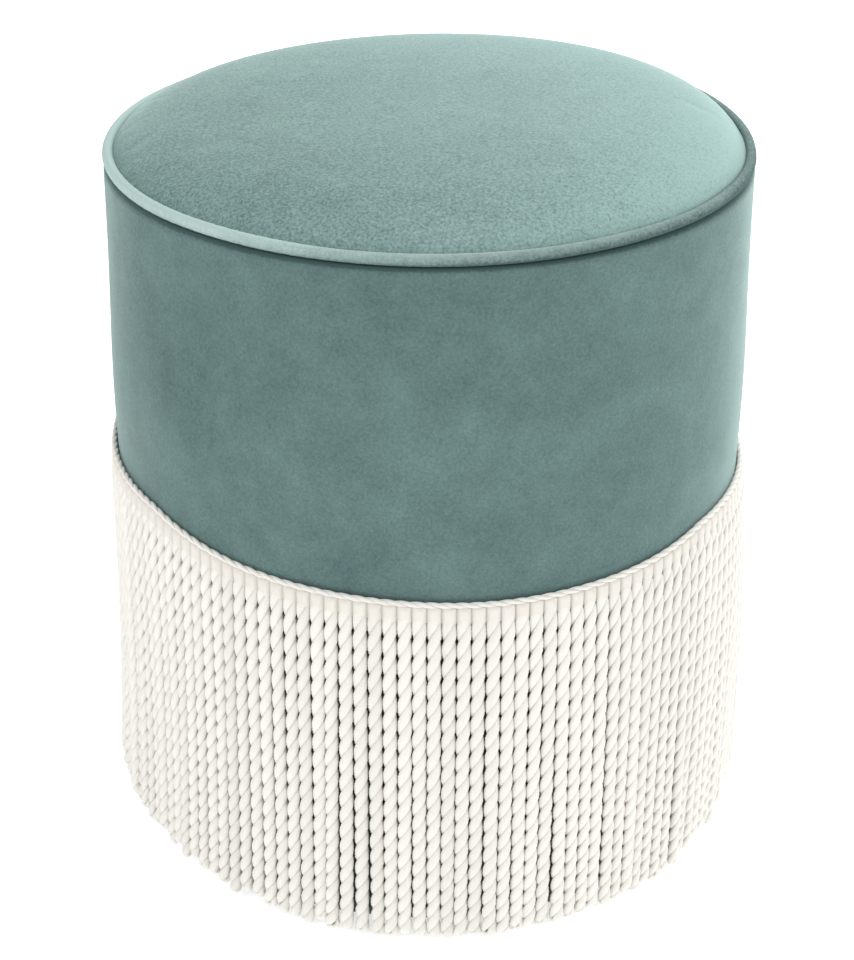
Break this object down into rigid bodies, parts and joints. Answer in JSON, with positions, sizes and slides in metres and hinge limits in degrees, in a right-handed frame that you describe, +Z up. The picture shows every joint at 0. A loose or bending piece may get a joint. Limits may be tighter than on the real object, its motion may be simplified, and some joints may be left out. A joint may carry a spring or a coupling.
{
  "type": "tuffet",
  "caption": "Round upholstered drum tuffet with a crowned piped velvet seat and a long twisted bullion fringe round its lower half.",
  "frame": {"origin": "on the floor under the middle of the drum", "axes": "+Z up along the drum's axis; the front seen in the picture faces -Y and the closing seams are on +Y"},
  "size_m": [0.3984, 0.3984, 0.452],
  "materials": {
    "velvet": "matte cotton velvet, dusty sage teal",
    "cotton": "matte twisted cotton, warm off-white",
    "wadding": "soft polyester wadding",
    "foam": "open-cell upholstery foam",
    "filler_cord": "braided piping cord",
    "cambric": "black non-woven cambric",
    "plywood": "raw birch plywood",
    "pine": "raw planed pine",
    "hardboard": "raw bent hardboard",
    "zinc_steel": "zinc plated",
    "nylon": "moulded nylon"
  },
  "bodies": {
    "root": {"base_board": "plywood", "seat_board": "plywood", "post_1": "pine", "post_2": "pine", "post_3": "pine", "post_4": "pine", "post_5": "pine", "post_6": "pine", "base_screws": "zinc_steel", "seat_board_screws": "zinc_steel", "wall_shell": "hardboard", "seat_foam": "foam", "seat_wadding": "wadding", "seat_cover": "velvet", "welt_cord": "filler_cord", "welt_casing": "velvet", "side_wadding": "wadding", "side_cover": "velvet", "fringe_heading": "cotton", "fringe_lip_cord": "cotton", "fringe_bullions": "cotton", "dust_cover": "cambric", "glide_1": "nylon", "glide_2": "nylon", "glide_3": "nylon", "glide_4": "nylon", "glide_nails": "zinc_steel"}
  },
  "joints": []
}
